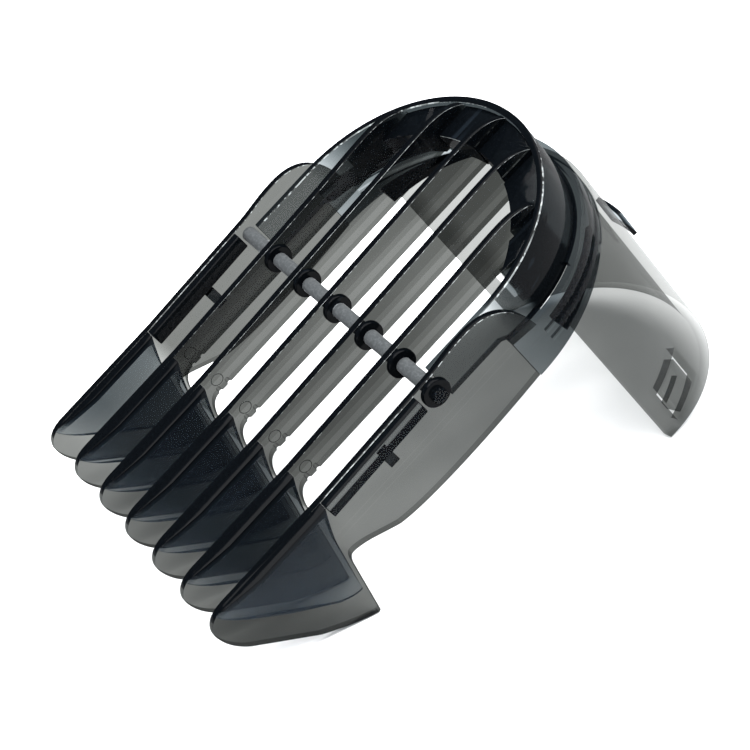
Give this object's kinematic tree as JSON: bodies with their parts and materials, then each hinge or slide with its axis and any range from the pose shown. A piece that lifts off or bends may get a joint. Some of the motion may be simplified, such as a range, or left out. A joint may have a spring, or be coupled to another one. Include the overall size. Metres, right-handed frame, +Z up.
{
  "type": "clipper guard comb",
  "caption": "Adjustable hair-clipper guard comb: curved-nosed teeth on a crossbar, U-shaped hood with a stepped sleeve, and a curved rear tongue with sprung snap tabs.",
  "frame": {"origin": "middle of the bounding box footprint, on the surface that the comb stands on", "axes": "+Y from the tooth tips to the tongue, +X across the teeth, +Z up, with the comb standing on its tooth heels and on the two corners of the tongue"},
  "size_m": [0.0456, 0.0808, 0.0419],
  "materials": {
    "clear_smoke": "glossy transparent moulding, smoke tinted",
    "dark_smoke": "the same tinted plastic where it is thick",
    "hood_smoke": "the same tinted plastic where two or three layers lie behind each other"
  },
  "bodies": {
    "comb": {"tooth_blade_1": "clear_smoke", "nose_pad_1": "dark_smoke", "tooth_blade_2": "clear_smoke", "nose_pad_2": "dark_smoke", "tooth_blade_3": "clear_smoke", "nose_pad_3": "dark_smoke", "tooth_blade_4": "clear_smoke", "nose_pad_4": "dark_smoke", "tooth_blade_5": "clear_smoke", "nose_pad_5": "dark_smoke", "tooth_blade_6": "clear_smoke", "nose_pad_6": "dark_smoke", "tooth_blade_7": "clear_smoke", "nose_pad_7": "dark_smoke", "crossbar_1": "hood_smoke", "crossbar_2": "hood_smoke", "crossbar_3": "hood_smoke", "crossbar_4": "hood_smoke", "crossbar_5": "hood_smoke", "crossbar_6": "hood_smoke", "bar_collar_2": "dark_smoke", "bar_collar_3": "dark_smoke", "bar_collar_4": "dark_smoke", "bar_collar_5": "dark_smoke", "bar_collar_6": "dark_smoke", "bar_collar_7": "dark_smoke", "bar_end_stub": "dark_smoke", "edge_rail_left": "dark_smoke", "edge_rail_right": "dark_smoke", "side_skirt_left": "clear_smoke", "side_skirt_right": "clear_smoke", "guide_rib_left": "dark_smoke", "guide_rib_right": "dark_smoke", "roof_web_1": "hood_smoke", "roof_web_2": "hood_smoke", "roof_web_3": "hood_smoke", "roof_web_4": "hood_smoke", "roof_web_5": "hood_smoke", "roof_web_6": "hood_smoke", "hood_wall": "hood_smoke", "hood_shoulder": "hood_smoke", "sleeve": "hood_smoke", "sleeve_ledge_left": "dark_smoke", "sleeve_ledge_right": "dark_smoke", "tongue": "clear_smoke", "thumb_pad": "dark_smoke"},
    "left_snap_tab": {"snap_tab_left": "clear_smoke"},
    "right_snap_tab": {"snap_tab_right": "clear_smoke"}
  },
  "joints": [
    {"name": "left_tab_flex", "type": "hinge", "parent": "comb", "child": "left_snap_tab", "pos_m": [-0.01713, 0.02571, 0.00811], "axis": [0.4415, 0.7892, 0.427], "range_deg": [-2, 8], "stiffness_Nm_per_rad": 0.3},
    {"name": "right_tab_flex", "type": "hinge", "parent": "comb", "child": "right_snap_tab", "pos_m": [0.01562, 0.02571, 0.00811], "axis": [0.4415, -0.7892, -0.427], "range_deg": [-2, 8], "stiffness_Nm_per_rad": 0.3}
  ]
}
